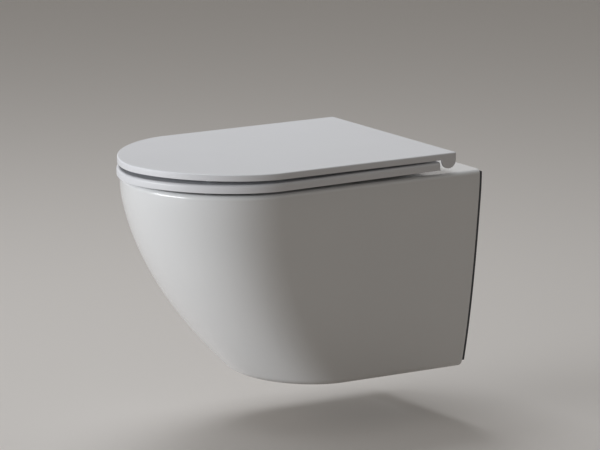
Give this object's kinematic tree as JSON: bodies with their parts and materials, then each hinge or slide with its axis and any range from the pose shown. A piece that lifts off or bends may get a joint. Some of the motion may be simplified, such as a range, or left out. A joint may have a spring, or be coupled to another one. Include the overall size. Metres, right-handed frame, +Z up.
{
  "type": "wall hung toilet",
  "caption": "Wall-hung ceramic toilet pan with a slim seat ring and flat cover on soft-close, quick-release hinges.",
  "frame": {"origin": "midpoint between the two wall studs, on the plane of the finished wall", "axes": "+Z up, +Y into the wall (the pan's nose points to -Y), +X to the right of a person facing the wall"},
  "size_m": [0.367, 0.5439, 0.364],
  "materials": {
    "glazed_white": "gloss",
    "satin_white_plastic": "satin",
    "soft_grey_rubber": "matte",
    "seal_rubber": "matte",
    "foam_mat": "matte",
    "steel": "brushed",
    "white_nylon": "matte",
    "damper_grey": "matte"
  },
  "bodies": {
    "pan": {"pan_deck": "glazed_white", "pan_bowl": "glazed_white", "pan_trapway": "glazed_white", "pan_rear_web": "glazed_white", "pan_skirt": "glazed_white", "flush_splitter": "satin_white_plastic", "inlet_seal": "seal_rubber", "wall_sound_mat": "foam_mat", "stud_sleeves": "white_nylon", "stud_washers": "steel", "stud_nuts": "steel", "base_gaskets": "seal_rubber", "hinge_posts": "steel", "expansion_plugs": "seal_rubber", "cone_nuts": "steel", "hinge_pins": "steel", "hinge_base_right": "steel", "hinge_base_left": "steel", "hinge_block_right": "steel", "hinge_block_left": "steel"},
    "seat": {"seat_ring": "satin_white_plastic", "seat_bushings": "white_nylon", "seat_buffers": "soft_grey_rubber", "seat_damper": "damper_grey"},
    "cover": {"seat_cover": "satin_white_plastic", "cover_bushings": "white_nylon", "cover_buffers": "soft_grey_rubber", "cover_damper": "damper_grey"},
    "button_left": {"release_button_left": "damper_grey", "release_spring_left": "steel"},
    "button_right": {"release_button_right": "damper_grey", "release_spring_right": "steel"}
  },
  "joints": [
    {"name": "seat_hinge", "type": "hinge", "parent": "pan", "child": "seat", "pos_m": [0, -0.0673, 0.1072], "axis": [-1, 0, 0], "range_deg": [0, 92]},
    {"name": "cover_hinge", "type": "hinge", "parent": "seat", "child": "cover", "pos_m": [0, -0.0673, 0.1072], "axis": [-1, 0, 0], "range_deg": [0, 94]},
    {"name": "release_left", "type": "slide", "parent": "pan", "child": "button_left", "axis": [0, 0, -1], "range_m": [0, 0.0025], "stiffness_N_per_m": 400, "springref_m": -0.001, "deforming": ["release_spring_left"]},
    {"name": "release_right", "type": "slide", "parent": "pan", "child": "button_right", "axis": [0, 0, -1], "range_m": [0, 0.0025], "stiffness_N_per_m": 400, "springref_m": -0.001, "deforming": ["release_spring_right"]}
  ]
}
